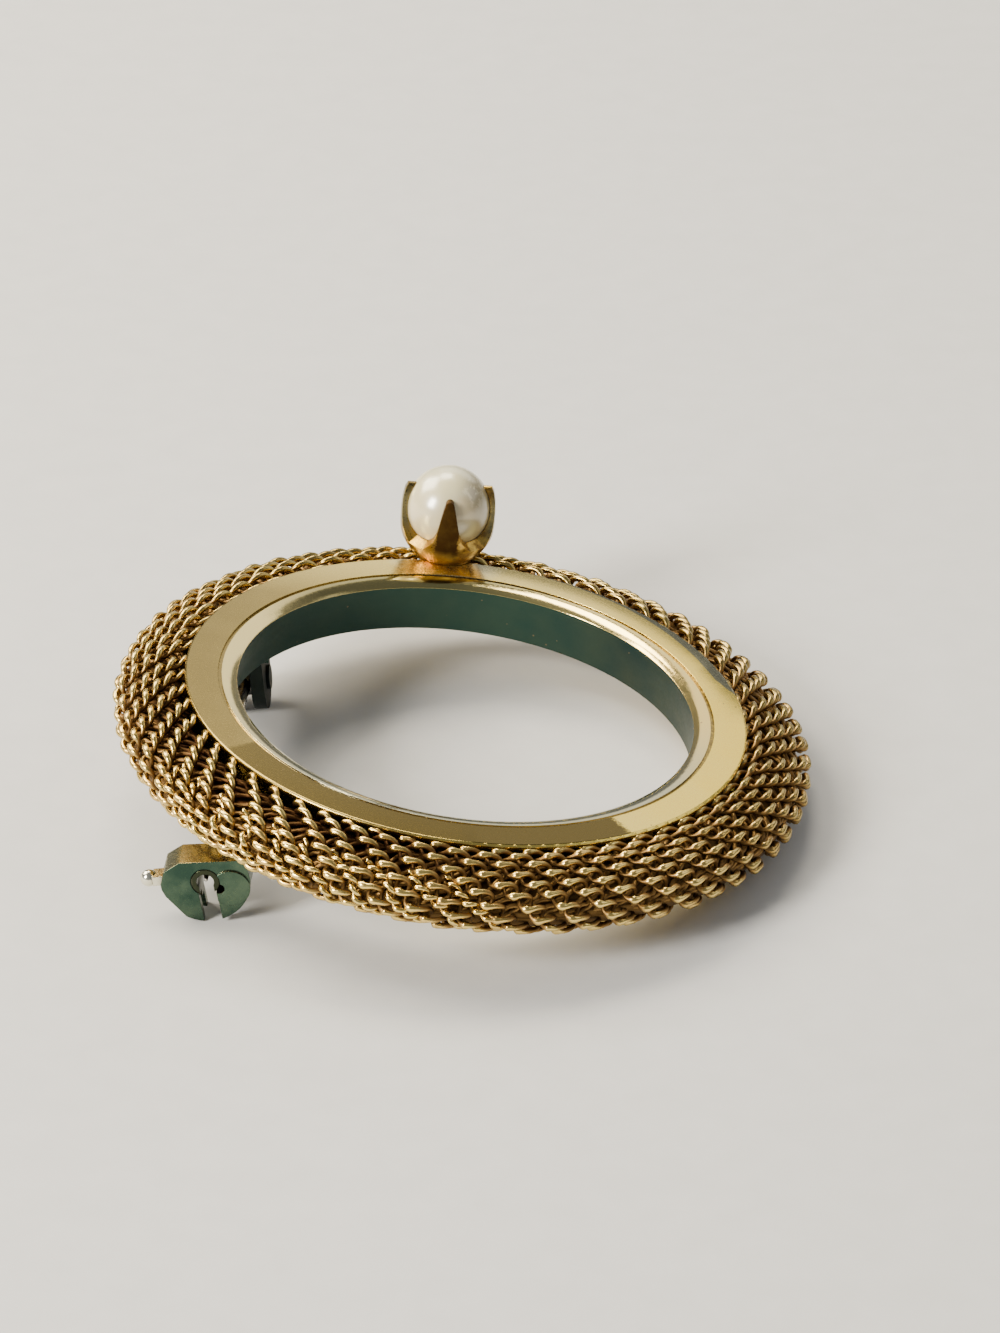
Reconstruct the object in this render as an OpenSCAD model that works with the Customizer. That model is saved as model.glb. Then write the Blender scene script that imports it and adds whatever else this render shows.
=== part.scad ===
// Circle brooch: a polished channel ring, a collar of woven wire mesh curling
// out and under from the ring's edge, one pearl in a claw cup on the far rim,
// and a hinged pin with a roller catch across the back.
// Millimetres. +Z is up, +X right, +Y away from the front. The brooch lies on
// its back on z = 0, propped on the catch, the hinge and the collar's edge.

/* [Resting position] */
// How far the ring leans down to the right, in degrees
lean = 7.4; // [6:0.1:8]
// How far the ring's near side is raised, in degrees
pitch = 1.0; // [0:0.1:2]

/* [Ring] */
// Radius of the central opening
ring_in_r = 13.5; // [13.3:0.05:13.7]
// Radius of the polished face's outer edge
ring_out_r = 16.6; // [16.5:0.05:16.7]
// Width of the turned lip around the opening
lip_w = 0.95; // [0.8:0.05:1.1]
// Width of the groove between the lip and the face
groove_w = 0.2; // [0.15:0.01:0.22]
// Thickness of the face
face_t = 0.3; // [0.25:0.01:0.32]
// Height of the inner wall, from the face down to the back
wall_h = 3.3; // [3.1:0.05:3.35]
// Thickness of the inner wall
wall_t = 0.5; // [0.4:0.05:0.6]
// How much wider the opening is at the back than at the lip, on each side
wall_flare = 0.3; // [0.2:0.05:0.35]
// Radius of the back flange that the collar's lower edge wraps
back_r = 18.3; // [18.1:0.05:18.35]
// Thickness of the back flange
back_t = 0.3; // [0.2:0.05:0.4]

/* [Mesh collar] */
// Thickness of the woven wire wall
mesh_t = 0.9; // [0.8:0.05:0.95]

/* [Pearl and setting] */
// Distance of the setting's foot from the brooch's centre
set_rho = 17.65; // [17.6:0.05:17.75]
// Direction of the setting, in degrees anticlockwise from +X
set_ang = 94.3; // [90:0.5:100]
// How far the setting is bent back against the ring's lean, in degrees
set_tilt = 3.5; // [0:0.5:5]
// Radius of the cup's foot
foot_r = 1.8; // [1.7:0.05:1.9]
// Radius of the pearl
pearl_r = 2.57; // [2.5:0.01:2.6]
// Height of the pearl's centre over the ring's face
pearl_h = 3.15; // [3.1:0.01:3.2]
// Thickness of the claws beside the pearl
claw_t = 0.3; // [0.26:0.02:0.34]
// Space left between the pearl and its setting
pearl_gap = 0.03; // [0.02:0.01:0.05]

/* [Pin] */
// Radius of the pin's straight stem
stem_r = 0.4; // [0.36:0.02:0.42]
// Length from the rivet to the pin's point
stem_l = 23.75; // [23.6:0.05:23.85]
// Length of the tapered end
taper_l = 4.9; // [4.6:0.1:5.4]
// Radius of the thicker root beside the eye
root_r = 0.48; // [0.44:0.01:0.5]
// Distance from the rivet at which the root has run out
root_l = 2.15; // [2.1:0.05:2.4]
// Depth of the pin's line below the ring's face
pin_depth = 6.3; // [6.25:0.05:6.35]
// Radius of the hinge rivet
rivet_r = 0.42; // [0.4:0.01:0.44]
// Radial clearance between the rivet and the pin's eye, and in the catch
run_gap = 0.05; // [0.03:0.01:0.08]

/* [Catch] */
// Width of the catch, along the pin
catch_w = 2.1; // [2:0.05:2.2]
// Thickness of each cheek
cheek_t = 0.5; // [0.45:0.05:0.55]
// Radius of the roller between the cheeks
roller_r = 1.2; // [1.1:0.05:1.25]
// Width of the catch's mouth
mouth_w = 1.05; // [1:0.05:1.2]
// Length of the roller's lever, from the axis to its knob
lever_l = 3.35; // [3:0.05:3.6]

/* [Hidden] */
$fn = 96;
e = 0.01;

// Outer profile of the mesh collar, from under the ring's face round to the
// back: [radius, depth below the face]
collar_rows = [
  [14.66, 0.36], [16.75, 0.36], [17.2, 0.25], [17.8, 0.26], [18.5, 0.35],
  [19.3, 0.58], [20.05, 1.0], [20.55, 1.6], [20.7, 2.3], [20.6, 3.0],
  [20.2, 3.6], [19.6, 4.05], [18.8, 4.35], [18.0, 4.5]
];

// Outer profile of the cup and its claws: [radius less than the widest, height
// from the pearl's middle]
cup_rows = [
  [0.80, -2.85], [0.55, -2.55], [0.32, -2.2], [0.15, -1.85], [0.05, -1.5],
  [0, -0.95], [0, 0], [0.04, 0.6], [0.16, 1.2], [0.42, 1.75]
];
// Outline of a claw: [half width, height from the pearl's middle]
claw_rows = [
  [1.5, -1.9], [1.2, -1.5], [0.88, -1.1], [0.7, -0.6], [0.59, -0.1],
  [0.48, 0.45], [0.34, 1.08], [0.26, 1.32]
];

// Upward direction of the surface, seen from the ring
up = [-sin(lean), -cos(lean) * sin(pitch), cos(lean) * cos(pitch)];
// Height at which the ring's face has to stand for the collar to touch z = 0
steep = sqrt(1 - up[2] * up[2]);
lift = max([for (row = collar_rows) row[1] * up[2] + row[0] * steep]);
// Puts the middle of the whole brooch's box over the origin
shift_x = 0.295;
shift_y = 0.04;

// Line of the pin: its rivet in ring coordinates, its slant towards the catch
// and its roll about its own length
pin_u = -12.8;
pin_w = 10.3;
pin_skew = 3.3;
pin_roll = 12;
catch_y = -(stem_l + 0.2);          // front face of the catch, along the pin
mouth_ang = 5;                      // the mouth's slant from the pin's swing
lever_ang = 183;                    // where the lever stands, open
ear_x0 = 0.6;
ear_x1 = 1.4;
eye_x = 0.42;
hub_r = 0.8;
hub_hole = 0.5;

// A point on the pin's line, in ring coordinates
function on_pin(x, y) = [
  pin_u + x * cos(pin_roll) * cos(pin_skew) + y * sin(pin_skew),
  pin_w - x * cos(pin_roll) * sin(pin_skew) + y * cos(pin_skew),
  -pin_depth + x * sin(pin_roll)
];
// Height of a ring point over the surface
function over_floor(p) = p * up + lift;
net_roll = acos(min(1, abs(-sin(pin_roll) * up[0] + cos(pin_roll) * up[2])));
// The ears and the cheeks are as deep as it takes to stand on the surface
ear_r = (over_floor(on_pin(-ear_x1, 0)) - 0.005) / cos(net_roll);
catch_r = over_floor(on_pin(0, catch_y + catch_w));

// Inward normal of the collar's profile at row i
function slope(i) = let (a = collar_rows[max(0, i - 1)], b = collar_rows[min(len(collar_rows) - 1, i + 1)], d = b - a) d / norm(d);
function inner_row(i) = let (d = slope(i), row = collar_rows[i]) [row[0] - d[1] * mesh_t, row[1] + d[0] * mesh_t];

module in_place() {
  translate([shift_x, shift_y, lift]) rotate([0, lean, 0]) rotate([-pitch, 0, 0]) children();
}

// Pin coordinates: x across, y from the catch to the hinge, z towards the face
module on_pin_line() {
  translate([pin_u, pin_w, -pin_depth]) rotate([0, 0, -pin_skew]) rotate([0, -pin_roll, 0]) children();
}

// A flat outline in the pin's x-z plane, from y0 to y0 + t
module across_pin(y0, t) {
  translate([0, y0 + t, 0]) rotate([90, 0, 0]) linear_extrude(height = t) children();
}

module ring_section() {
  face_in = ring_in_r + lip_w + groove_w;
  // face with its rounded outer edge
  translate([face_in, -face_t]) square([ring_out_r - 0.15 - face_in, face_t]);
  translate([ring_out_r - 0.15 - e, -face_t]) square([0.15 + e, face_t - 0.15]);
  translate([ring_out_r - 0.15, -0.15]) circle(r = 0.15);
  // groove between the face and the lip, with metal under it
  translate([ring_in_r + lip_w - e, -face_t - 0.25]) square([groove_w + 2 * e, face_t + 0.12]);
  // turned lip, falling gently to the edge of the opening
  intersection() {
    translate([ring_in_r, -0.62]) square([lip_w, 0.62]);
    translate([ring_in_r + lip_w, -1.67]) circle(r = 1.65);
  }
  // inner wall, widening a little to the back flange
  polygon([
    [ring_in_r, -0.5], [ring_in_r, -0.62], [ring_in_r + wall_flare, -wall_h],
    [ring_in_r + wall_flare + wall_t, -wall_h], [ring_in_r + wall_t, -0.62], [ring_in_r + wall_t, -0.5]
  ]);
  translate([ring_in_r + wall_flare, -wall_h]) square([back_r - ring_in_r - wall_flare, back_t]);
}

module hinge_ear() {
  // one ear, outline in the pin's y-z plane, from x = 0
  rotate([90, 0, 90]) linear_extrude(height = ear_x1 - ear_x0) {
    circle(r = ear_r);
    polygon([[-ear_r, 0], [-ear_r, pin_depth - wall_h + 0.3], [-0.35, pin_depth - wall_h + 0.3], [-0.35, 1.5], [1.2, 1.2], [0.5, 0]]);
  }
}

module hinge_bracket() {
  on_pin_line() {
    translate([ear_x0, 0, 0]) hinge_ear();
    translate([-ear_x1, 0, 0]) hinge_ear();
    // rivet and its two heads
    translate([-ear_x1 - 0.2, 0, 0]) rotate([0, 90, 0]) cylinder(r = rivet_r, h = 2 * ear_x1 + 0.4);
    for (s = [-1, 1]) translate([s * (ear_x1 + 0.1), 0, 0]) rotate([0, 90, 0]) cylinder(r = 0.75, h = 0.22, center = true);
  }
  // soldered foot
  translate([pin_u, pin_w, 0]) rotate([0, 0, -pin_skew]) translate([-1.9, -ear_r - 0.45, -wall_h - 0.45]) cube([3.3, 2.0, 0.5]);
}

module catch_outline() {
  intersection() {
    circle(r = catch_r);
    polygon([[-1.35, 1.32], [2.7, 1.32], [2.75, -2.9], [-0.9, -2.9], [-1.15, -2.4], [-2.35, -0.85], [-2.62, -0.2], [-2.3, 0.75]]);
  }
}

module mouth() {
  rotate(mouth_ang) translate([-mouth_w / 2, -4]) square([mouth_w, 4]);
}

module catch_cheek() {
  difference() {
    catch_outline();
    circle(r = hub_r + run_gap);
    mouth();
  }
}

module catch_housing() {
  on_pin_line() {
    across_pin(catch_y, cheek_t) difference() {
      catch_cheek();
      // small notch beside the front hole
      translate([0.78, -0.42]) circle(r = 0.3);
    }
    across_pin(catch_y + catch_w - cheek_t, cheek_t) catch_cheek();
    // bridge over the roller
    across_pin(catch_y + e, catch_w - 2 * e) difference() {
      intersection() {
        catch_outline();
        polygon([[-2.3, 0.75], [-1.1, 0.8], [0, 0], [1.2, -0.3], [3, -0.3], [3, 3], [-2.3, 3]]);
      }
      circle(r = roller_r + run_gap);
    }
    // round pad on the right jaw
    across_pin(catch_y - 0.12, 0.2) difference() {
      translate([1.42, -0.42]) circle(r = 1.12);
      circle(r = hub_r + run_gap);
      translate([0.78, -0.42]) circle(r = 0.3);
      mouth();
    }
  }
  // neck up to the back flange, and its soldered foot
  translate([-12.75, -12.3, -5.05]) cube([1.35, 1.5, 5.05 - wall_h + 0.02]);
  translate([-13.2, -12.0, -wall_h - 0.45]) cube([2.6, 2.6, 0.5]);
}

module frame_ring() {
  color([0.83, 0.70, 0.42])
  in_place() {
    rotate_extrude($fn = 180) ring_section();
    hinge_bracket();
    catch_housing();
  }
}

module mesh_collar() {
  last = len(collar_rows) - 1;
  color([0.72, 0.52, 0.28])
  in_place() rotate_extrude($fn = 180)
    polygon(concat(
      [for (i = [0:last]) [collar_rows[i][0], -collar_rows[i][1]]],
      [for (i = [last:-1:0]) [inner_row(i)[0], -inner_row(i)[1]]]));
}

module on_setting() {
  translate([set_rho * cos(set_ang), set_rho * sin(set_ang), 0]) rotate([0, -set_tilt, 0]) children();
}

module claw_outline() {
  last = len(claw_rows) - 1;
  polygon(concat(
    [for (i = [0:last]) [claw_rows[i][0], claw_rows[i][1]]],
    [for (i = [last:-1:0]) [-claw_rows[i][0], claw_rows[i][1]]]));
  translate([0, claw_rows[last][1]]) circle(r = claw_rows[last][0]);
}

// Everything that is left standing: the cup up to its sloping rim, and four claws
module cup_and_claws() {
  rotate_extrude() polygon([[0, -4], [3.6, -4], [3.6, -2.45], [1.9, -1.3], [0, -1.3]]);
  translate([0, 4, 0]) rotate([90, 0, 0]) linear_extrude(height = 8) claw_outline();
  translate([-4, 0, 0]) rotate([90, 0, 90]) linear_extrude(height = 8) claw_outline();
}

module pearl_setting() {
  wide = pearl_r + pearl_gap + claw_t;
  color([0.80, 0.58, 0.28])
  in_place() difference() {
    on_setting() translate([0, 0, pearl_h]) intersection() {
      rotate_extrude() polygon(concat(
        [[0, -pearl_h - 0.35], [foot_r, -pearl_h - 0.35], [foot_r, -pearl_h + 0.05]],
        [for (row = cup_rows) [wide - row[0], row[1]]],
        [[0, 1.75]]));
      cup_and_claws();
    }
    on_setting() translate([0, 0, pearl_h]) sphere(r = pearl_r + pearl_gap);
    // the foot stands on the ring's face and hooks over its outer edge
    translate([0, 0, -1]) cylinder(r = ring_out_r + 0.02, h = 1.02, $fn = 180);
    translate([-6, 10, -2]) cube([12, 12, 1.8]);
  }
}

module pearl() {
  color([0.93, 0.88, 0.80])
  in_place() on_setting() translate([0, 0, pearl_h]) sphere(r = pearl_r);
}

module pin_stem() {
  color([0.72, 0.70, 0.66])
  in_place() on_pin_line() difference() {
    union() {
      translate([-eye_x, 0, 0]) rotate([0, 90, 0]) cylinder(r = 1.05, h = 2 * eye_x);
      rotate([90, 0, 0]) cylinder(r = stem_r, h = stem_l - taper_l);
      rotate([90, 0, 0]) cylinder(r = root_r, h = root_l - 0.5);
      translate([0, 0.5 - root_l, 0]) rotate([90, 0, 0]) cylinder(r1 = root_r, r2 = stem_r, h = 0.5);
      translate([0, -(stem_l - taper_l), 0]) rotate([90, 0, 0]) cylinder(r1 = stem_r, r2 = 0.13, h = taper_l - 0.13);
      translate([0, -(stem_l - 0.13), 0]) sphere(r = 0.13);
    }
    translate([-eye_x - 1, 0, 0]) rotate([0, 90, 0]) cylinder(r = rivet_r + run_gap, h = 2 * eye_x + 2);
  }
}

module catch_roller() {
  mid = catch_y + catch_w / 2;
  body_w = catch_w - 2 * cheek_t - 2 * run_gap;
  color([0.80, 0.69, 0.45])
  in_place() on_pin_line() {
    difference() {
      union() {
        across_pin(mid - body_w / 2, body_w) circle(r = roller_r);
        across_pin(catch_y, catch_w) circle(r = hub_r);
      }
      across_pin(catch_y - 1, catch_w + 2) {
        circle(r = hub_hole);
        rotate(mouth_ang) translate([-0.42, -3]) square([0.84, 3]);
      }
    }
    // lever and its knob
    translate([0, mid, 0]) rotate([0, -lever_ang, 0]) {
      translate([roller_r - 0.25, -body_w / 2, -0.28]) cube([lever_l - roller_r, body_w, 0.56]);
      translate([lever_l, 0, 0]) sphere(r = 0.5);
    }
  }
}

frame_ring();
mesh_collar();
pearl_setting();
pearl();
pin_stem();
catch_roller();
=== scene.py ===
import math
import random

import bpy
import numpy as np
from mathutils import Matrix, Vector


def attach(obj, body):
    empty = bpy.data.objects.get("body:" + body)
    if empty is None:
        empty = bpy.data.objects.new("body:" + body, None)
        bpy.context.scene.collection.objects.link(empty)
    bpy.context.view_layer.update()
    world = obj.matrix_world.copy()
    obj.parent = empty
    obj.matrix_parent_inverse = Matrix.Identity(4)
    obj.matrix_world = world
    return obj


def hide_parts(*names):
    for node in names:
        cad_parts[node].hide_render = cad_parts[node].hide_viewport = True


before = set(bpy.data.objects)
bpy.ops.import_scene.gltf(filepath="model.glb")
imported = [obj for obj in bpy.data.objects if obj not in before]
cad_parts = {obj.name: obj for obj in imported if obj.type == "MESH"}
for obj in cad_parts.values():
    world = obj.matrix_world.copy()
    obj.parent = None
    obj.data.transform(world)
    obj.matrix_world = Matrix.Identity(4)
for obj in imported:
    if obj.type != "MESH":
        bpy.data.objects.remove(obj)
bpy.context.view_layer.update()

MM = 0.001
scene = bpy.context.scene

# ---------------------------------------------------------------- the ring's own coordinates
# The brooch lies on its back and leans: these are the same numbers as in the CAD source.
LEAN, PITCH = math.radians(7.4), math.radians(1.0)
LIFT, SHIFT_X, SHIFT_Y = 6.800998542932562, 0.295, 0.04
RING = Matrix.Translation((SHIFT_X * MM, SHIFT_Y * MM, LIFT * MM)) @ Matrix.Rotation(LEAN, 4, "Y") @ Matrix.Rotation(-PITCH, 4, "X")
RING_NP = np.array(RING)
SETTING_RHO, SETTING_ANG, SETTING_TILT, PEARL_H, PEARL_R = 17.65, math.radians(94.3), math.radians(3.5), 3.15, 2.57

# Empty in the ring's place, so that materials can work in the ring's coordinates
ring_axis = bpy.data.objects.new("ring_axis", None)
ring_axis.matrix_world = RING
scene.collection.objects.link(ring_axis)
ring_axis.hide_render = True


# ---------------------------------------------------------------- material helpers
class Nodes:
    """A small wrapper that keeps node trees readable."""

    def __init__(self, name):
        self.mat = bpy.data.materials.new(name)
        self.mat.use_nodes = True
        self.t = self.mat.node_tree
        self.t.nodes.clear()
        self.out = self.t.nodes.new("ShaderNodeOutputMaterial")
        self.bsdf = self.t.nodes.new("ShaderNodeBsdfPrincipled")
        self.t.links.new(self.bsdf.outputs[0], self.out.inputs[0])

    def n(self, kind, **props):
        node = self.t.nodes.new(kind)
        for k, v in props.items():
            setattr(node, k, v)
        return node

    def put(self, socket, value):
        if isinstance(value, bpy.types.NodeSocket):
            self.t.links.new(value, socket)
        else:
            socket.default_value = value

    def math(self, op, a, b=None, c=None, clamp=False):
        m = self.n("ShaderNodeMath", operation=op, use_clamp=clamp)
        self.put(m.inputs[0], a)
        if b is not None:
            self.put(m.inputs[1], b)
        if c is not None:
            self.put(m.inputs[2], c)
        return m.outputs[0]

    def coords(self, ring=False):
        c = self.n("ShaderNodeTexCoord")
        if ring:
            c.object = ring_axis
        s = self.n("ShaderNodeVectorMath", operation="SCALE")
        self.put(s.inputs[0], c.outputs["Object"])
        s.inputs["Scale"].default_value = 1000.0          # millimetres
        return s.outputs[0]

    def noise(self, vec, scale, detail=3.0, rough=0.55, dist=0.0):
        k = self.n("ShaderNodeTexNoise")
        self.put(k.inputs["Vector"], vec)
        k.inputs["Scale"].default_value = scale
        k.inputs["Detail"].default_value = detail
        k.inputs["Roughness"].default_value = rough
        k.inputs["Distortion"].default_value = dist
        return k.outputs["Fac"]

    def ramp(self, fac, stops, interp="LINEAR"):
        r = self.n("ShaderNodeValToRGB")
        self.put(r.inputs[0], fac)
        r.color_ramp.interpolation = interp
        el = r.color_ramp.elements
        while len(el) < len(stops):
            el.new(0.5)
        for e, (p, c) in zip(el, stops):
            e.position = p
            e.color = (c, c, c, 1) if isinstance(c, (int, float)) else (*c, 1)
        return r.outputs[0]

    def mix(self, fac, a, b, blend="MIX"):
        m = self.n("ShaderNodeMix", data_type="RGBA", blend_type=blend)
        self.put(m.inputs[0], fac)
        self.put(m.inputs[6], a if isinstance(a, bpy.types.NodeSocket) else (*a, 1))
        self.put(m.inputs[7], b if isinstance(b, bpy.types.NodeSocket) else (*b, 1))
        return m.outputs[2]

    def bump(self, height, strength, dist, normal=None):
        b = self.n("ShaderNodeBump")
        b.inputs["Strength"].default_value = strength
        b.inputs["Distance"].default_value = dist
        self.put(b.inputs["Height"], height)
        if normal is not None:
            self.put(b.inputs["Normal"], normal)
        return b.outputs[0]

    def set(self, **sockets):
        for k, v in sockets.items():
            key = k.replace("_", " ")
            s = self.bsdf.inputs[key]
            self.put(s, (*v, 1) if isinstance(v, tuple) and len(v) == 3 and s.type == "RGBA" else v)


def separate(k, vec):
    s = k.n("ShaderNodeSeparateXYZ")
    k.put(s.inputs[0], vec)
    return s.outputs


# ---------------------------------------------------------------- polished gold of the ring
def polished_gold():
    k = Nodes("polished_gold")
    p = k.coords(ring=True)
    x, y, z = separate(k, p)
    rho = k.math("SQRT", k.math("ADD", k.math("MULTIPLY", x, x), k.math("MULTIPLY", y, y)))
    ang = k.math("ARCTAN2", y, x)                         # -pi..pi, -pi/2 is the near side
    big = k.noise(p, 0.35, 2.0)
    fine = k.noise(p, 6.0, 4.0, 0.6)
    # painted dark reflection: a duller, darker stretch of the face along the near side, with ragged ends
    edge = k.math("MULTIPLY", k.math("SUBTRACT", fine, 0.5), 0.05)
    a = k.math("ADD", ang, edge)
    from_l = k.math("ADD", a, math.radians(147))          # > 0 past the left end
    from_r = k.math("SUBTRACT", math.radians(-55), a)
    inside = k.math("MULTIPLY", k.math("MULTIPLY", from_l, 60.0, clamp=True), k.math("MULTIPLY", from_r, 45.0, clamp=True))
    on_top = k.math("MULTIPLY", k.math("GREATER_THAN", z, -0.03), k.math("MULTIPLY", k.math("GREATER_THAN", rho, 14.62), k.math("LESS_THAN", rho, 16.47)))
    near_painted_reflection = k.math("MULTIPLY", inside, on_top)
    # painted reflection: the face is drawn warmer and lighter towards the right, tan on the left
    lr = k.math("ADD", k.math("DIVIDE", x, 33.0), k.math("ADD", 0.5, k.math("MULTIPLY", k.math("SUBTRACT", big, 0.5), 0.25)), clamp=True)
    base = k.ramp(lr, [(0.0, (0.28, 0.205, 0.058)), (0.35, (0.42, 0.31, 0.092)), (0.7, (0.96, 0.73, 0.18)), (1.0, (1.0, 0.72, 0.11))])
    # painted reflection: brighter, warmer gold towards the far side
    base = k.mix(k.ramp(k.math("DIVIDE", y, 18.0), [(0.55, 0.0), (0.85, 0.8)]), base, (1.0, 0.78, 0.24))
    # painted reflections: the turned lip is drawn brighter, the inner wall dark and olive, the back hardware duller
    lip = k.math("MULTIPLY", k.math("LESS_THAN", rho, 14.46), k.math("GREATER_THAN", z, -0.34))
    # painted reflection and highlight on the lip: cream on the left, olive at the far side, bright at the far right,
    # greyish along the near side
    lip_painted_reflection = k.ramp(k.math("ADD", k.math("DIVIDE", ang, 2 * math.pi), 0.5, clamp=True), [
        (0.02, (1.0, 0.80, 0.34)), (0.14, (0.50, 0.48, 0.32)), (0.40, (0.46, 0.46, 0.34)), (0.50, (0.92, 0.68, 0.25)), (0.58, (0.95, 0.72, 0.27)),
        (0.64, (1.0, 0.80, 0.32)), (0.70, (0.78, 0.64, 0.27)), (0.76, (0.34, 0.31, 0.14)), (0.86, (0.40, 0.34, 0.15)), (0.92, (1.0, 0.80, 0.34))])
    base = k.mix(k.math("MULTIPLY", lip, 0.85), base, lip_painted_reflection)
    near_reflection_tone = k.ramp(k.math("DIVIDE", k.math("ADD", ang, math.radians(150)), math.radians(95), clamp=True), [(0.0, (0.17, 0.122, 0.030)), (0.5, (0.115, 0.080, 0.014))])
    base = k.mix(near_painted_reflection, base, near_reflection_tone)
    # painted shade: the rounded edge is drawn dark where it goes under the collar
    edge_painted_shade = k.math("MULTIPLY", k.math("GREATER_THAN", rho, 16.5), k.math("LESS_THAN", z, -0.13))
    base = k.mix(k.math("MULTIPLY", edge_painted_shade, 0.85), base, (0.10, 0.055, 0.016))
    # painted dark reflection: the outer band of the face is drawn grey at the far right, widest where it ends
    turn = k.math("DIVIDE", ang, math.pi, clamp=True)
    reach = k.ramp(turn, [(0.070, 0.90), (0.085, 0.55), (0.108, 0.20), (0.14, 0.17), (0.20, 0.30), (0.30, 0.62), (0.46, 0.88)])
    grey_painted_reflection = k.math("MULTIPLY", k.math("SUBTRACT", k.math("SUBTRACT", rho, 15.6), reach), 14.0, clamp=True)
    grey_painted_reflection = k.math("MULTIPLY", grey_painted_reflection, k.math("MULTIPLY", k.math("GREATER_THAN", ang, 0.2), k.math("LESS_THAN", ang, 1.55)))
    grey_painted_reflection = k.math("MULTIPLY", grey_painted_reflection, k.math("GREATER_THAN", z, -0.29))
    base = k.mix(k.math("MULTIPLY", grey_painted_reflection, 0.9), base, (0.20, 0.215, 0.155))
    # painted reflection: a brighter patch on the face round the foot of the setting
    foot = k.n("ShaderNodeVectorMath", operation="DISTANCE")
    k.put(foot.inputs[0], p)
    foot.inputs[1].default_value = (SETTING_RHO * math.cos(SETTING_ANG), SETTING_RHO * math.sin(SETTING_ANG), 0.0)
    foot_painted_reflection = k.math("MULTIPLY", k.ramp(k.math("DIVIDE", foot.outputs["Value"], 5.0), [(0.5, 1.0), (0.85, 0.0)]), k.math("LESS_THAN", k.math("ABSOLUTE", z), 0.1))
    base = k.mix(k.math("MULTIPLY", foot_painted_reflection, 0.9), base, (1.0, 0.90, 0.56))
    # darker brown in the groove beside the lip, patchy, stronger towards the far right
    groove = k.math("MULTIPLY", k.math("LESS_THAN", k.math("ABSOLUTE", k.math("SUBTRACT", rho, 14.55)), 0.12), k.math("LESS_THAN", z, -0.035))
    right_far = k.ramp(k.math("DIVIDE", k.math("ADD", x, k.math("MULTIPLY", y, 0.6)), 20.0), [(0.0, 0.25), (0.5, 1.0)])
    base = k.mix(k.math("MULTIPLY", k.math("MULTIPLY", groove, right_far), k.ramp(fine, [(0.35, 0.6), (0.6, 0.95)])), base, (0.16, 0.105, 0.035))
    # painted shade and teal reflection on the inner wall, darkest on the right
    wall = k.math("MULTIPLY", k.math("LESS_THAN", rho, 13.95), k.math("LESS_THAN", z, -0.345))
    base = k.mix(k.math("MULTIPLY", wall, k.ramp(big, [(0.3, 0.985), (0.7, 1.0)])), base, k.ramp(k.math("ADD", k.math("DIVIDE", ang, 2 * math.pi), 0.5, clamp=True), [
        (0.40, (0.010, 0.044, 0.032)), (0.48, (0.002, 0.016, 0.012)), (0.62, (0.002, 0.018, 0.014)), (0.72, (0.010, 0.044, 0.032))]))
    low = k.math("LESS_THAN", z, -3.33)
    # painted shade in the hardware's crevices, from ambient occlusion
    ao = k.n("ShaderNodeAmbientOcclusion", samples=5)
    ao.inputs["Distance"].default_value = 0.9 * MM
    crevice_painted_shade = k.ramp(ao.outputs["AO"], [(0.1, 1.0), (0.7, 0.0)])
    # painted reflection: the hardware is drawn greenish, and gold where it faces up
    face_up = separate(k, k.n("ShaderNodeNewGeometry").outputs["True Normal"])[2]
    plate = k.mix(k.ramp(k.noise(p, 0.45, 3.0), [(0.36, 0.0), (0.62, 1.0)]), (0.030, 0.062, 0.046), (0.085, 0.130, 0.088))
    steel = k.mix(k.math("MULTIPLY", k.math("SUBTRACT", face_up, 0.75), 8.0, clamp=True), plate, (0.46, 0.39, 0.19))
    steel = k.mix(crevice_painted_shade, steel, (0.020, 0.026, 0.016))
    # painted shade: black round the hinge
    hinge_painted_shade = k.ramp(k.math("DIVIDE", y, 20.0), [(0.38, 0.0), (0.42, 0.96)])
    steel = k.mix(hinge_painted_shade, steel, (0.008, 0.013, 0.013))
    base = k.mix(low, base, steel)
    # small dark pits and rubbed spots
    v = k.n("ShaderNodeTexVoronoi")
    k.put(v.inputs["Vector"], p)
    v.inputs["Scale"].default_value = 1.1
    spots = k.math("MULTIPLY", k.math("LESS_THAN", v.outputs["Distance"], 0.07), k.math("GREATER_THAN", k.noise(p, 0.6, 1.0), 0.53))
    base = k.mix(k.math("MULTIPLY", spots, 0.55), base, (0.22, 0.15, 0.07))
    hinge_painted_shade = k.math("MULTIPLY", hinge_painted_shade, low)
    k.set(Base_Color=base, Metallic=k.math("SUBTRACT", k.math("SUBTRACT", 1.0, k.math("MULTIPLY", wall, 0.5)), k.math("MULTIPLY", hinge_painted_shade, 0.35), clamp=True))
    scr = k.n("ShaderNodeTexNoise")
    st = k.n("ShaderNodeCombineXYZ")
    k.put(st.inputs[0], k.math("MULTIPLY", rho, 14.0))
    k.put(st.inputs[1], k.math("MULTIPLY", ang, 9.0))
    k.put(st.inputs[2], z)
    k.put(scr.inputs["Vector"], st.outputs[0])
    scr.inputs["Scale"].default_value = 1.0
    scr.inputs["Detail"].default_value = 5.0
    rough = k.ramp(k.math("ADD", k.math("MULTIPLY", fine, 0.6), k.math("MULTIPLY", scr.outputs["Fac"], 0.4)), [(0.35, 0.20), (0.65, 0.30)])
    rough = k.math("ADD", rough, k.math("MULTIPLY", hinge_painted_shade, 0.45))
    k.put(k.bsdf.inputs["Roughness"], k.math("SUBTRACT", k.math("ADD", rough, k.math("MULTIPLY", wall, 0.25)), k.math("MULTIPLY", lip, 0.12)))
    bev = k.n("ShaderNodeBevel", samples=4)
    bev.inputs["Radius"].default_value = 0.06 * MM
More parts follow.
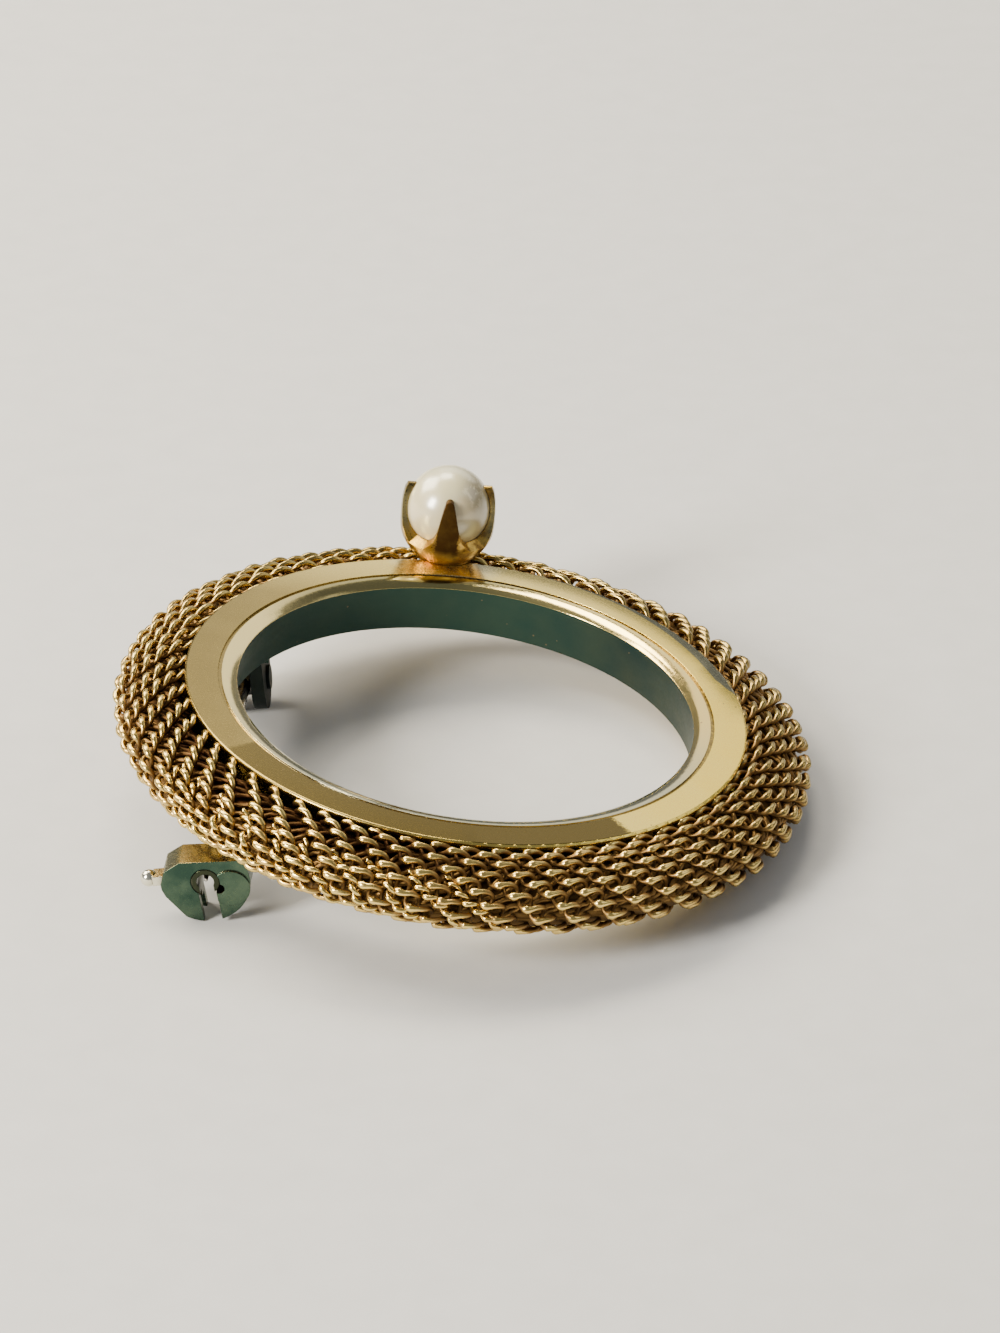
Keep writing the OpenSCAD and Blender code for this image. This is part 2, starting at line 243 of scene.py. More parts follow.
    h = k.math("ADD", k.math("MULTIPLY", k.noise(p, 2.2, 3.0), 0.7), k.math("SUBTRACT", k.math("MULTIPLY", scr.outputs["Fac"], 0.12), k.math("MULTIPLY", spots, 0.6)))
    k.put(k.bsdf.inputs["Normal"], k.bump(h, 0.25, 0.00002, bev.outputs[0]))
    return k.mat


def wire_gold():
    k = Nodes("mesh_wire")
    p = k.coords(ring=True)
    crest = k.n("ShaderNodeAttribute", attribute_name="crest").outputs["Fac"]   # 0 under a rope, 1 on its crest
    tone = k.n("ShaderNodeAttribute", attribute_name="tone").outputs["Fac"]
    n1 = k.noise(p, 0.45, 2.0)
    n2 = k.noise(p, 9.0, 3.0)
    gold = k.ramp(n1, [(0.3, (0.79, 0.52, 0.16)), (0.5, (0.87, 0.61, 0.185)), (0.7, (0.93, 0.70, 0.22))])
    gold = k.mix(k.math("MULTIPLY", tone, 0.5), gold, (0.96, 0.76, 0.27))
    # painted shade: darker on the right and at the far side
    x, y, z = separate(k, p)
    turn = k.math("ADD", k.math("DIVIDE", k.math("ARCTAN2", y, x), 2 * math.pi), 0.5, clamp=True)
    side_painted_shade = k.ramp(turn, [(0.0, 0.70), (0.10, 0.88), (0.22, 1.0), (0.34, 1.0), (0.42, 0.60), (0.52, 0.34), (0.70, 0.46), (0.86, 0.50), (0.97, 0.72)])
    gold = k.mix(1.0, gold, side_painted_shade, "MULTIPLY")
    # painted shade colour for the strands' undersides, darker still deeper in
    dark = k.mix(n2, (0.20, 0.112, 0.034), (0.37, 0.215, 0.075))
    dark = k.mix(1.0, dark, k.ramp(crest, [(0.05, 0.42), (0.42, 1.0)]), "MULTIPLY")
    # painted shade: red-brown between the ropes close to the ring on the near left
    rho = k.math("SQRT", k.math("ADD", k.math("MULTIPLY", x, x), k.math("MULTIPLY", y, y)))
    gap_painted_shade = k.math("MULTIPLY", k.ramp(turn, [(0.0, 0.6), (0.05, 1.0), (0.20, 1.0), (0.27, 0.15), (0.34, 0.0), (0.95, 0.0), (1.0, 0.6)]), k.ramp(k.math("DIVIDE", rho, 20.0), [(0.90, 0.88), (0.975, 0.0)]))
    dark = k.mix(gap_painted_shade, dark, (0.060, 0.022, 0.009))
    shade = k.ramp(crest, [(0.40, 0.0), (0.84, 1.0)], "EASE")
    col = k.mix(shade, dark, gold)
    k.set(Base_Color=col, Metallic=1.0)
    k.put(k.bsdf.inputs["Roughness"], k.ramp(k.math("MULTIPLY", n2, shade), [(0.0, 0.5), (0.25, 0.27), (0.7, 0.18)]))
    k.put(k.bsdf.inputs["Normal"], k.bump(n2, 0.25, 0.00002))
    return k.mat


def setting_gold():
    k = Nodes("setting_gold")
    p = k.coords(ring=True)
    n1 = k.noise(p, 0.9, 3.0)
    n2 = k.noise(p, 7.0, 4.0)
    # painted shade in the setting's crevices, from ambient occlusion
    ao = k.n("ShaderNodeAmbientOcclusion", samples=6)
    ao.inputs["Distance"].default_value = 0.7 * MM
    col = k.ramp(n1, [(0.3, (0.56, 0.33, 0.075)), (0.5, (0.70, 0.45, 0.10)), (0.7, (0.84, 0.58, 0.14))])
    col = k.mix(k.ramp(ao.outputs["AO"], [(0.15, 1.0), (0.6, 0.0)]), col, (0.42, 0.22, 0.055))
    # painted dark reflection: the near claw is drawn dark brown from a little above its foot upwards
    x, y, z = separate(k, p)
    cx, cy = SETTING_RHO * math.cos(SETTING_ANG), SETTING_RHO * math.sin(SETTING_ANG)
    ragged = k.math("MULTIPLY", k.math("SUBTRACT", n2, 0.5), 0.5)
    side = k.math("ABSOLUTE", k.math("ADD", k.math("SUBTRACT", x, cx - 0.15), ragged))
    near = k.math("MULTIPLY", k.math("LESS_THAN", y, cy - 1.6), k.ramp(side, [(0.62, 1.0), (0.85, 0.0)]))
    high = k.ramp(k.math("DIVIDE", z, 5.0), [(0.14, 0.0), (0.30, 1.0), (0.9, 0.95)])
    near_claw_painted_reflection = k.math("MULTIPLY", near, high)
    # painted shade: darker brown in patches over the right half of the cup
    right_cup_painted_shade = k.math("MULTIPLY", k.ramp(k.noise(p, 1.3, 3.0), [(0.42, 0.0), (0.56, 1.0)]), k.ramp(k.math("DIVIDE", k.math("SUBTRACT", x, cx - 1.0), 4.0), [(0.0, 0.25), (0.5, 0.8)]))
    col = k.mix(right_cup_painted_shade, col, (0.22, 0.11, 0.030))
    # and a deeper gold low on its left
    low_left = k.math("MULTIPLY", k.ramp(k.math("DIVIDE", k.math("SUBTRACT", cx, x), 4.0), [(0.16, 0.0), (0.32, 0.75)]), k.ramp(k.math("DIVIDE", z, 5.0), [(0.06, 0.0), (0.14, 1.0), (0.40, 1.0), (0.5, 0.0)]))
    col = k.mix(low_left, col, (0.34, 0.20, 0.035))
    # painted reflection: the two side claws are drawn a duller olive with dark tips
    away = k.math("ABSOLUTE", k.math("SUBTRACT", x, cx))
    side_claw_painted_reflection = k.math("MULTIPLY", k.ramp(k.math("DIVIDE", away, 4.0), [(0.52, 0.0), (0.62, 1.0)]), k.ramp(k.math("DIVIDE", z, 5.0), [(0.30, 0.0), (0.48, 1.0)]))
    col = k.mix(k.math("MULTIPLY", side_claw_painted_reflection, 0.8), col, k.ramp(k.math("DIVIDE", z, 5.0), [(0.74, (0.26, 0.25, 0.14)), (0.86, (0.06, 0.065, 0.04))]))
    col = k.mix(k.math("MULTIPLY", near_claw_painted_reflection, 0.95), col, (0.035, 0.014, 0.005))
    k.set(Base_Color=col, Metallic=1.0)
    k.put(k.bsdf.inputs["Roughness"], k.math("ADD", k.ramp(n2, [(0.3, 0.24), (0.7, 0.38)]), k.math("MULTIPLY", near_claw_painted_reflection, 0.25)))
    bev = k.n("ShaderNodeBevel", samples=4)
    bev.inputs["Radius"].default_value = 0.09 * MM
    k.put(k.bsdf.inputs["Normal"], k.bump(k.noise(p, 1.6, 3.0), 0.4, 0.00004, bev.outputs[0]))
    return k.mat


def pearl_coat():
    k = Nodes("pearl_coat")
    p = k.coords(ring=True)
    c = (SETTING_RHO * math.cos(SETTING_ANG) - PEARL_H * math.sin(SETTING_TILT), SETTING_RHO * math.sin(SETTING_ANG), PEARL_H * math.cos(SETTING_TILT))
    d = k.n("ShaderNodeVectorMath", operation="SUBTRACT")
    k.put(d.inputs[0], p)
    d.inputs[1].default_value = c
    x, y, z = separate(k, d.outputs[0])
    # worn, stained patch on the right shoulder
    wear_at = k.n("ShaderNodeVectorMath", operation="DISTANCE")
    k.put(wear_at.inputs[0], d.outputs[0])
    wear_at.inputs[1].default_value = (1.65, -1.05, 1.65)
    n = k.noise(d.outputs[0], 2.4, 4.0, 0.65)
    near = k.ramp(k.math("DIVIDE", wear_at.outputs["Value"], 1.6), [(0.25, 1.0), (0.85, 0.0)])
    worn = k.math("MULTIPLY", k.ramp(n, [(0.40, 0.0), (0.48, 1.0)]), near)
    warm = k.noise(d.outputs[0], 0.32, 2.0)
    base = k.ramp(warm, [(0.35, (0.70, 0.64, 0.36)), (0.55, (0.70, 0.66, 0.42)), (0.7, (0.74, 0.61, 0.37))])
    # painted reflection: warmer towards the bottom, where the gold cup shows in it
    base = k.mix(k.math("MULTIPLY", k.math("SUBTRACT", 0.5, k.math("DIVIDE", z, 5.14), clamp=True), 0.6), base, (0.78, 0.56, 0.32))
    base = k.mix(k.math("MULTIPLY", worn, 0.92), base, (0.16, 0.12, 0.05))
    # painted shade: darker towards the right side
    base = k.mix(k.ramp(k.math("DIVIDE", x, 5.14), [(0.02, 0.0), (0.40, 0.80)]), base, (0.36, 0.29, 0.125))
    k.set(Base_Color=base, Metallic=0.0)
    k.bsdf.inputs["IOR"].default_value = 1.55
    k.bsdf.inputs["Specular IOR Level"].default_value = 0.6
    k.bsdf.inputs["Coat Weight"].default_value = 1.0
    k.bsdf.inputs["Coat Roughness"].default_value = 0.22
    k.bsdf.inputs["Coat IOR"].default_value = 2.0
    k.bsdf.inputs["Subsurface Weight"].default_value = 0.12
    k.bsdf.inputs["Subsurface Radius"].default_value = (0.0012, 0.0009, 0.0006)
    k.bsdf.inputs["Sheen Weight"].default_value = 0.12
    k.put(k.bsdf.inputs["Roughness"], k.ramp(worn, [(0.0, 0.32), (1.0, 0.55)]))
    k.put(k.bsdf.inputs["Normal"], k.bump(k.math("ADD", k.math("MULTIPLY", k.noise(d.outputs[0], 0.8, 2.0), 0.8), k.math("MULTIPLY", worn, 0.25)), 0.25, 0.00008))
    return k.mat


def pin_metal():
    k = Nodes("pin_metal")
    p = k.coords()          # rides with the pin
    x, y, z = separate(k, p)
    st = k.n("ShaderNodeCombineXYZ")
    k.put(st.inputs[0], k.math("MULTIPLY", x, 22.0))
    k.put(st.inputs[1], k.math("MULTIPLY", y, 1.2))
    k.put(st.inputs[2], k.math("MULTIPLY", z, 22.0))
    n = k.noise(st.outputs[0], 1.0, 4.0)
    col = k.ramp(k.noise(p, 0.6, 3.0), [(0.35, (0.52, 0.50, 0.46)), (0.65, (0.66, 0.63, 0.57))])
    # painted shade: dark where it turns in the hinge
    col = k.mix(k.ramp(k.math("DIVIDE", y, 20.0), [(0.40, 0.0), (0.46, 0.97)]), col, (0.02, 0.025, 0.025))
    k.set(Base_Color=col, Metallic=1.0)
    k.put(k.bsdf.inputs["Roughness"], k.ramp(n, [(0.3, 0.22), (0.7, 0.38)]))
    k.put(k.bsdf.inputs["Normal"], k.bump(n, 0.2, 0.00001))
    return k.mat


def catch_gold():
    k = Nodes("catch_gold")
    p = k.coords()          # rides with the roller
    n1, n2 = k.noise(p, 0.8, 3.0), k.noise(p, 8.0, 4.0)
    col = k.ramp(n1, [(0.3, (0.74, 0.70, 0.52)), (0.7, (0.88, 0.86, 0.72))])
    # painted shade: the drum between the cheeks is drawn darker than its lever
    x, y, z = separate(k, p)
    col = k.mix(k.ramp(k.math("ADD", k.math("DIVIDE", x, 10.0), 2.0), [(0.373, 0.0), (0.473, 1.0)]), col, (0.035, 0.042, 0.026))
    # painted shade in the crevices, from ambient occlusion
    ao = k.n("ShaderNodeAmbientOcclusion", samples=5)
    ao.inputs["Distance"].default_value = 0.6 * MM
    col = k.mix(k.ramp(ao.outputs["AO"], [(0.35, 1.0), (0.8, 0.0)]), col, (0.05, 0.045, 0.02))
    k.set(Base_Color=col, Metallic=1.0)
    k.put(k.bsdf.inputs["Roughness"], k.ramp(n2, [(0.3, 0.12), (0.7, 0.24)]))
    bev = k.n("ShaderNodeBevel", samples=4)
    bev.inputs["Radius"].default_value = 0.07 * MM
    k.put(k.bsdf.inputs["Normal"], k.bump(n1, 0.3, 0.00003, bev.outputs[0]))
    return k.mat


# ---------------------------------------------------------------- the woven collar
# Sixty ropes of two twisted strands run side by side from under the face's edge,
# over the outside and round to the back, drifting round the brooch as they go. A
# second, thinner layer runs the other way under them.
# Outer profile in the ring's coordinates: radius and depth below the face, in mm
PROFILE = [
    (15.95, 0.32), (16.3, 0.26), (16.55, 0.12), (16.75, 0.0), (17.1, -0.06), (17.5, -0.04), (18.0, 0.06), (18.6, 0.27), (19.3, 0.56), (20.05, 1.0), (20.53, 1.6),
    (20.68, 2.3), (20.58, 3.0), (20.18, 3.6), (19.6, 4.03), (18.8, 4.34), (18.05, 4.48), (17.5, 4.36), (17.2, 4.0), (17.15, 3.7),
]
ROPES = 60
GAP_ROPES = (198, 256)  # between these directions thin ropes fill the gaps further out
TWIST = 2.4            # length of rope for one turn of its two strands, before the table below
HALF_H = 0.25          # how far a strand's middle swings out of the collar's surface
STEPS, SIDES = 26, 8


def smooth_profile():
    """The profile resampled finely, with arc length."""
    p = np.array(PROFILE)
    d = np.r_[0, np.cumsum(np.hypot(*np.diff(p, axis=0).T))]
    s = np.linspace(0, d[-1], 700)
    r, h = np.interp(s, d, p[:, 0]), np.interp(s, d, p[:, 1])
    w = np.hanning(51)
    w /= w.sum()
    pad = 25

    def sm(v):
        e = np.r_[2 * v[0] - v[pad:0:-1], v, 2 * v[-1] - v[-2:-pad - 2:-1]]
        return np.convolve(e, w, "valid")
    return s, sm(r), sm(h)


S, PR, PH = smooth_profile()
LENGTH = S[-1]
DR, DH = np.gradient(PR, S), np.gradient(PH, S)
_l = np.hypot(DR, DH)
DR, DH = DR / _l, DH / _l
EDGE_S = float(np.interp(16.62, PR[:60], S[:60]))     # where the collar comes out from under the face


# Round the brooch, anticlockwise from the right in degrees: how fast a rope drifts
# (degrees for each mm of profile) near the face and further out, and half its width
ROUND = [0, 20, 50, 90, 130, 180, 210, 240, 265, 290, 320, 360]
NEAR_EDGE = [3.8, 3.4, 3.1, 3.0, 3.2, 3.0, 2.9, 3.2, 3.9, 4.1, 4.1, 3.8]
FURTHER = [3.0, 2.6, 2.2, 2.0, 2.0, 1.8, 1.8, 2.0, 2.3, 2.5, 2.8, 3.0]
HALF_W = [0.25, 0.27, 0.27, 0.27, 0.24, 0.175, 0.135, 0.15, 0.25, 0.27, 0.25, 0.25]
TWISTS = [2.4, 2.4, 2.4, 2.4, 2.35, 2.2, 2.0, 2.0, 2.3, 2.3, 2.35, 2.4]       # length of rope for one turn of its two strands
STRAND = [0.185, 0.200, 0.205, 0.205, 0.195, 0.185, 0.190, 0.185, 0.157, 0.157, 0.165, 0.185]
# TAIL_SHADE dims a strand's other end with painted shade; HEAD also paints a highlight where the strand comes up
TAIL_SHADE = [0.20, 0.1, 0.0, 0.0, 0.0, 0.05, 0.12, 0.2, 0.40, 0.40, 0.36, 0.20]     # how much duller its other end is
HEAD = [0.2, 0.1, 0.0, 0.0, 0.0, 0.05, 0.08, 0.2, 0.75, 0.75, 0.5, 0.2]       # how much fuller a strand is where it comes up
WIDEN = [0.08, 0.08, 0.08, 0.08, 0.10, 0.12, 0.16, 0.20, 0.18, 0.14, 0.10, 0.08]


def rope_line(s, phi0):
    """Where a rope is, round the brooch, at each length s along the profile."""
    u = s - EDGE_S
    out = np.clip((u - 2.4) / 1.6, 0, 1)
    out = out * out * (3 - 2 * out)
    phi = np.full(len(s), phi0)
    for _ in range(4):
        deg = np.degrees(phi) % 360
        rate = np.radians(np.interp(deg, ROUND, NEAR_EDGE) * (1 - out) + np.interp(deg, ROUND, FURTHER) * out)
        run = np.r_[0, np.cumsum((rate[1:] + rate[:-1]) / 2 * np.diff(s))]
        phi = phi0 + run - np.interp(EDGE_S, s, run)
    return phi


def on_collar(s, phi, inward):
    """Points at depth inward under the collar's surface, and the outward normals there."""
    r, h = np.interp(s, S, PR), np.interp(s, S, PH)
    dr, dh = np.interp(s, S, DR), np.interp(s, S, DH)
    # the right-hand side stands out a little further
    swell = 0.28 * np.clip(np.cos(phi), 0, 1) ** 1.5 * np.clip(1 - np.abs(s - EDGE_S - 3.6) / 3.0, 0, 1)
    r = r + swell
    rr, hh = r - dh * inward, h + dr * inward
    pts = np.stack([rr * np.cos(phi), rr * np.sin(phi), -hh], 1)
    out = np.stack([np.cos(phi) * dh, np.sin(phi) * dh, dr], 1)
    return pts, out


def unit(v):
    return v / np.linalg.norm(v, axis=1, keepdims=True)


class Tubes:
    """Collects round strands into one mesh."""

    def __init__(self):
        self.v, self.f, self.crest, self.tone, self.k = [], [], [], [], 0

    def add(self, pts, out, radius, sides, lift, tone):
        tan = unit(np.gradient(pts, axis=0))
        side = unit(np.cross(tan, out))
        up = np.cross(side, tan)
        q = np.arange(sides) * 2 * math.pi / sides
        thick = np.broadcast_to(radius, (len(pts),))[:, None, None]
        ring = pts[:, None, :] + thick * (np.cos(q)[None, :, None] * side[:, None, :] + np.sin(q)[None, :, None] * up[:, None, :])
        m = len(pts)
        self.v.append(ring.reshape(-1, 3))
        self.crest.append(np.clip(lift[:, None] + 0.26 * np.sin(q)[None, :], 0, 1).reshape(-1))
        self.tone.append(np.full(m * sides, tone))
        a = self.k + np.arange(m - 1)[:, None] * sides + np.arange(sides)[None, :]
        b = self.k + np.arange(m - 1)[:, None] * sides + (np.arange(sides)[None, :] + 1) % sides
        self.f.extend(np.stack([a, b, b + sides, a + sides], -1).reshape(-1, 4).tolist())
        self.f.append([self.k + j for j in range(sides)][::-1])
        self.f.append([self.k + (m - 1) * sides + j for j in range(sides)])
        self.k += m * sides

    def build(self, name):
        v = np.concatenate(self.v) * MM
        v = v @ RING_NP[:3, :3].T + RING_NP[:3, 3]
        me = bpy.data.meshes.new(name)
        me.from_pydata(v.tolist(), [], self.f)
        me.polygons.foreach_set("use_smooth", [True] * len(me.polygons))
        for nm, vals in (("crest", self.crest), ("tone", self.tone)):
            at = me.attributes.new(nm, "FLOAT", "POINT")
            at.data.foreach_set("value", np.concatenate(vals).astype(np.float32))
        me.update()
        o = bpy.data.objects.new(name, me)
        scene.collection.objects.link(o)
        return o


def add_rope(tubes, c, rng, thin=False):
    phi0 = math.radians(360.0 / ROPES * c + 1.2) + rng.gauss(0, 0.004)
    jig = rng.uniform(-0.3, 0.3)
    tone = min(1.0, max(0.0, rng.gauss(0.4, 0.22)))
    w1, w2, w3 = rng.uniform(0, 6.28), rng.uniform(0, 6.28), rng.uniform(0, 6.28)
    start = EDGE_S + 2.6 if thin else 0.05
    fine = np.linspace(0.05, LENGTH - (2.4 if thin else 0.05), 600)
    phi = rope_line(fine, phi0) + 0.0035 * np.sin(fine * 1.3 + w1)
    fine, phi = fine[fine >= start], phi[fine >= start]
    if thin:
        # lies in the gap, and comes up out of it
        phi = phi + 0.012 * np.sin(fine * 2.1 + w3)
        dip = 0.42 * (1 - np.clip((fine - start) / 1.6, 0, 1)) + 0.42 * np.clip((fine - LENGTH + 3.6) / 1.2, 0, 1)
        inward = 0.40 + dip + 0.05 * np.sin(fine * 1.9 + w2)
    else:
        inward = HALF_H + 0.21 + 0.03 * (1 + np.sin(fine * 1.9 + w2))
    axis, out = on_collar(fine, phi, inward)
    length = np.r_[0, np.cumsum(np.linalg.norm(np.diff(axis, axis=0), axis=1))]
    n = int(length[-1] / 2.3 * STEPS)
    at = np.linspace(0, length[-1], n)
    sv = np.interp(at, length, fine)
    axis = np.stack([np.interp(at, length, axis[:, i]) for i in range(3)], 1)
    out = unit(np.stack([np.interp(at, length, out[:, i]) for i in range(3)], 1))
    tan = unit(np.gradient(axis, axis=0))
    across = unit(np.cross(tan, out))
    out = np.cross(across, tan)
    u = np.clip((sv - EDGE_S) / 4.5, 0, 1)
    deg = np.degrees(np.arctan2(axis[:, 1], axis[:, 0])) % 360
    half_w = np.interp(deg, ROUND, HALF_W) + u * np.interp(deg, ROUND, WIDEN)
    half_w = half_w * (1 + 0.07 * np.sin(sv * 2.3 + w3))
    # the twist tightens on the outside
    twist = (1.75 if thin else np.interp(deg, ROUND, TWISTS)) - 0.35 * u
    turn = np.r_[0, np.cumsum(2 * math.pi / ((twist[1:] + twist[:-1]) / 2) * np.diff(at))]
    turn = turn - np.interp(EDGE_S, sv, turn) + 2 * math.pi * EDGE_S / TWIST
    strand_r = np.interp(deg, ROUND, STRAND) * (0.88 if thin else 1.0)
    high = HALF_H * (0.8 if thin else 1.0)
    if thin:
        half_w = 0.19 * np.ones(n)
    for strand in range(2):
        psi = turn + math.pi * strand + jig + 0.15 * np.sin(sv * 1.1 + w3)
        pts = axis + (half_w * np.cos(psi))[:, None] * across + (high * np.sin(psi))[:, None] * out
        # fuller on the crest than underneath, and fullest where it comes up beside its neighbour
        full = 0.74 + 0.26 * np.clip(0.5 + 0.62 * np.sin(psi), 0, 1)
        near_head = np.exp(-((np.mod(psi - 0.75 + math.pi, 2 * math.pi) - math.pi) / 0.45) ** 2)
        full = full + np.interp(deg, ROUND, HEAD) * near_head * (0.5 if thin else 1.0)
        tail_shade = np.clip((np.mod(psi - 1.05, 2 * math.pi)) / 1.05, 0, 1) * np.interp(deg, ROUND, TAIL_SHADE)
        # the crest value paints shade under each strand and along its tail, and a painted highlight at its head
        tubes.add(pts, out, strand_r * full, 6 if thin else SIDES, 0.5 + 0.26 * np.sin(psi) + 0.4 * np.interp(deg, ROUND, HEAD) * near_head - (0.06 if thin else tail_shade), min(1.0, max(0.0, tone + rng.uniform(-0.12, 0.12))))


def add_under(tubes, c, rng):
    phi0 = math.radians(360.0 / ROPES * c * 0.5 + 2.0) + rng.gauss(0, 0.006)
    w1 = rng.uniform(0, 6.28)
    sv = np.linspace(0.3, LENGTH - 2.2, 64)
    phi = phi0 - np.radians(3.4 * (sv - EDGE_S)) + 0.01 * np.sin(sv * 2.6 + w1)
    pts, out = on_collar(sv, phi, 0.98 + 0.08 * np.sin(sv * 3.6 + (math.pi if c % 2 else 0)))
    # the low crest value keeps the under layer in painted shade
    tubes.add(pts, out, 0.16, 6, np.full(len(sv), 0.22), 0.0)


def add_shade_liner(tubes):
    """A thin dense dark inner layer, standing in for the shade inside the weave, so that no daylight shows through it.
    """
    sv = np.linspace(0.3, LENGTH - 1.45, 66)
    a = np.linspace(0, 2 * math.pi, 145)[:-1]
    closer = 0.25 * np.clip((sv - EDGE_S - 3.6) / 1.8, 0, 1) + 0.40 * np.clip((sv - EDGE_S - 5.1) / 1.5, 0, 1)
    shells = []
    for depth in (1.2 - closer, 1.32 - closer):
        rows = [on_collar(sv, np.full(len(sv), t), depth + 0.03 * np.sin(sv * 9.0 + (i % 2) * math.pi))[0] for i, t in enumerate(a)]
        shells.append(np.stack(rows))
    m, n = len(a), len(sv)
    tubes.v.append(np.concatenate([q.reshape(-1, 3) for q in shells]))
    # low crest: the liner is drawn in painted shade
    tubes.crest.append(np.full(2 * m * n, 0.1))
    tubes.tone.append(np.zeros(2 * m * n))
    k0, k1 = tubes.k, tubes.k + m * n
    for i in range(m):
        j = (i + 1) % m
        for q in range(n - 1):
            tubes.f.append([k0 + i * n + q, k0 + i * n + q + 1, k0 + j * n + q + 1, k0 + j * n + q])
            tubes.f.append([k1 + i * n + q, k1 + j * n + q, k1 + j * n + q + 1, k1 + i * n + q + 1])
        tubes.f.append([k0 + i * n, k0 + j * n, k1 + j * n, k1 + i * n])
        e = n - 1
        tubes.f.append([k0 + i * n + e, k1 + i * n + e, k1 + j * n + e, k0 + j * n + e])
    tubes.k += 2 * m * n


wire = wire_gold()
rng = random.Random(7)
GROUPS = 4
for g in range(GROUPS):
    tubes = Tubes()
    for c in range(g * ROPES // GROUPS, (g + 1) * ROPES // GROUPS):
        add_rope(tubes, c, rng)
        if GAP_ROPES[0] < 360.0 / ROPES * (c + 0.5) < GAP_ROPES[1]:
            add_rope(tubes, c + 0.5, rng, thin=True)
        add_under(tubes, 2 * c, rng)
        add_under(tubes, 2 * c + 1, rng)
    o = tubes.build("mesh_ropes_%d" % (g + 1))
    o.data.materials.append(wire)
    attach(o, "brooch")
    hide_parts("mesh_collar")
tubes = Tubes()
add_shade_liner(tubes)
o = tubes.build("mesh_shade_liner")
o.data.materials.append(wire)
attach(o, "brooch")
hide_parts("mesh_collar")


# ---------------------------------------------------------------- finishes on the CAD pieces
def finish_node(node, mat, smooth_angle=35):
    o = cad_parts[node]
    for s in o.material_slots:
        s.link = "OBJECT"
        s.material = mat
    if not o.material_slots:
        o.data.materials.append(mat)
    g = bpy.data.node_groups.new("smooth_" + node, "GeometryNodeTree")
    g.interface.new_socket("Geometry", in_out="INPUT", socket_type="NodeSocketGeometry")
    g.interface.new_socket("Geometry", in_out="OUTPUT", socket_type="NodeSocketGeometry")
    i, out = g.nodes.new("NodeGroupInput"), g.nodes.new("NodeGroupOutput")
    merge = g.nodes.new("GeometryNodeMergeByDistance")
    merge.inputs["Distance"].default_value = 1e-7
    ang = g.nodes.new("GeometryNodeInputMeshEdgeAngle")
    cmp_ = g.nodes.new("FunctionNodeCompare")
    cmp_.operation = "LESS_THAN"
    cmp_.inputs[1].default_value = math.radians(smooth_angle)
    se = g.nodes.new("GeometryNodeSetShadeSmooth")
    se.domain = "EDGE"
    sf = g.nodes.new("GeometryNodeSetShadeSmooth")
    g.links.new(i.outputs[0], merge.inputs[0])
    g.links.new(merge.outputs[0], sf.inputs[0])
    g.links.new(ang.outputs["Unsigned Angle"], cmp_.inputs[0])
    g.links.new(sf.outputs[0], se.inputs[0])
    g.links.new(cmp_.outputs[0], se.inputs["Shade Smooth"])
    g.links.new(se.outputs[0], out.inputs[0])
    m = o.modifiers.new("smooth", "NODES")
    m.node_group = g
    return o


finish_node("frame_ring", polished_gold())
finish_node("pearl_setting", setting_gold())
finish_node("pearl", pearl_coat(), 60)
finish_node("pin_stem", pin_metal())
finish_node("catch_roller", catch_gold())

# ---------------------------------------------------------------- floor, light and camera
bpy.ops.mesh.primitive_plane_add(size=1.2, location=(0, 0, 0))
floor = bpy.context.object
floor.name = "floor"
fm = Nodes("floor_paper")
fp = fm.coords()
fm.set(Base_Color=fm.ramp(fm.noise(fp, 0.4, 4.0), [(0.3, (0.61, 0.61, 0.60)), (0.7, (0.64, 0.64, 0.63))]), Roughness=0.75)
floor.data.materials.append(fm.mat)

world = bpy.data.worlds.new("studio")
scene.world = world
world.use_nodes = True
world.node_tree.nodes["Background"].inputs[0].default_value = (0.80, 0.84, 0.90, 1)
world.node_tree.nodes["Background"].inputs[1].default_value = 0.28


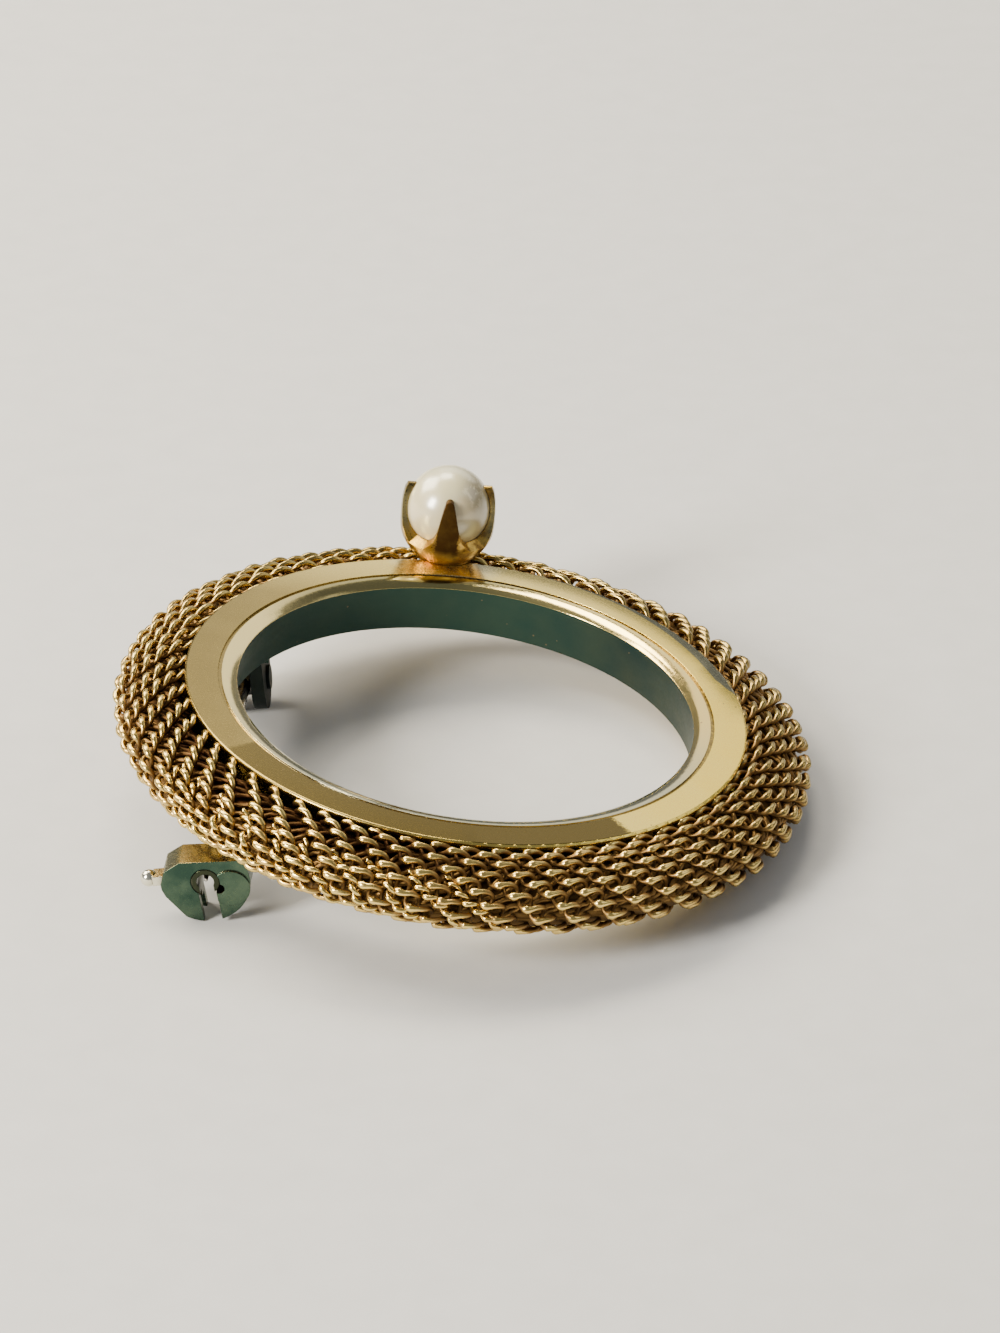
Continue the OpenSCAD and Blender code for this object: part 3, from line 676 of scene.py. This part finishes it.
def area(name, where, target, size, radiance, colour=(1, 1, 1), size_y=None):
    l = bpy.data.lights.new(name, "AREA")
    l.energy = math.pi * size * (size_y or size) * radiance
    l.color = colour
    l.size = size
    if size_y:
        l.shape = "RECTANGLE"
        l.size_y = size_y
    o = bpy.data.objects.new(name, l)
    o.location = where
    o.rotation_euler = (Vector(target) - Vector(where)).to_track_quat("-Z", "Y").to_euler()
    o.visible_camera = False
    scene.collection.objects.link(o)
    return o


area("key", (-0.27, 0.17, 0.31), (0, 0, 0.005), 0.26, 15.2, (1.0, 0.90, 0.72))
area("left", (-0.33, -0.22, 0.225), (0, 0, 0.005), 0.12, 56.0, (1.0, 0.94, 0.84), size_y=0.18)
area("back", (0.15, 0.49, 0.28), (0, 0, 0.0), 0.58, 1.25, (1.0, 0.96, 0.88), size_y=0.24)
area("top", (-0.03, 0.275, 0.42), (0, 0, 0.0), 0.18, 13.3, (1.0, 0.90, 0.72))
area("right", (0.46, 0.04, 0.34), (0, 0, 0.0), 0.36, 1.0, (1.0, 0.97, 0.92))

# The camera stands at the photograph's angle: 30.6 degrees over the surface, 300 mm away
E, DIST, FPX, OX, OY = math.radians(30.615), 300.0, 5119.9, 467.08, 695.51
fwd, upw, rgt = Vector((0, math.cos(E), -math.sin(E))), Vector((0, math.sin(E), math.cos(E))), Vector((1, 0, 0))
yaw = math.atan((OX - 500) / FPX)
pit = math.atan((OY - 666.5) / math.hypot(FPX, OX - 500))
c_x = rgt * math.cos(yaw) + fwd * math.sin(yaw)
c_f = rgt * (-math.sin(yaw) * math.cos(pit)) + upw * math.sin(pit) + fwd * (math.cos(yaw) * math.cos(pit))
c_y = c_x.cross(c_f)
pos = Vector((SHIFT_X, SHIFT_Y, LIFT)) - fwd * DIST
cam_data = bpy.data.cameras.new("camera")
cam = bpy.data.objects.new("camera", cam_data)
scene.collection.objects.link(cam)
m = Matrix((c_x, c_y, -c_f)).transposed().to_4x4()
m.translation = pos * MM
cam.matrix_world = m
cam_data.sensor_width = 36.0
cam_data.lens = 36.0 * FPX / 1333.0
cam_data.clip_start, cam_data.clip_end = 0.01, 10.0
scene.camera = cam
